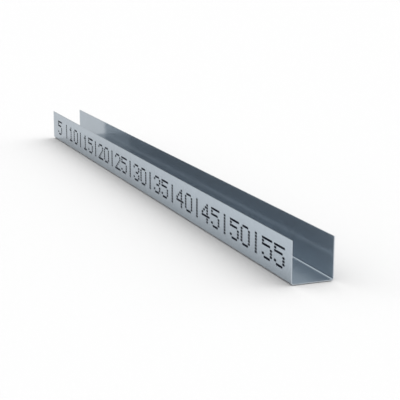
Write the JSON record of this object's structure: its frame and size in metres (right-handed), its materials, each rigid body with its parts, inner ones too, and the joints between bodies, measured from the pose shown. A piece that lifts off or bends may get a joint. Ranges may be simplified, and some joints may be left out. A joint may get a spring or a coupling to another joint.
{
  "type": "drywall track",
  "caption": "Short straight length of U-shaped galvanised steel track with a flat web and two equal plain flanges, for holding the ends of drywall framing.",
  "frame": {"origin": "middle of the web's underside, half way along the track", "axes": "+X along the track, +Z out of the channel's open side, -Y out of the flange whose face the picture shows"},
  "size_m": [0.55, 0.028, 0.027],
  "materials": {
    "galvanised_steel": "smooth bright zinc coating with faint rolling lines, cool grey",
    "marking_ink": "dry blue-black ink jet dots"
  },
  "bodies": {
    "root": {"track": "galvanised_steel"}
  },
  "joints": []
}
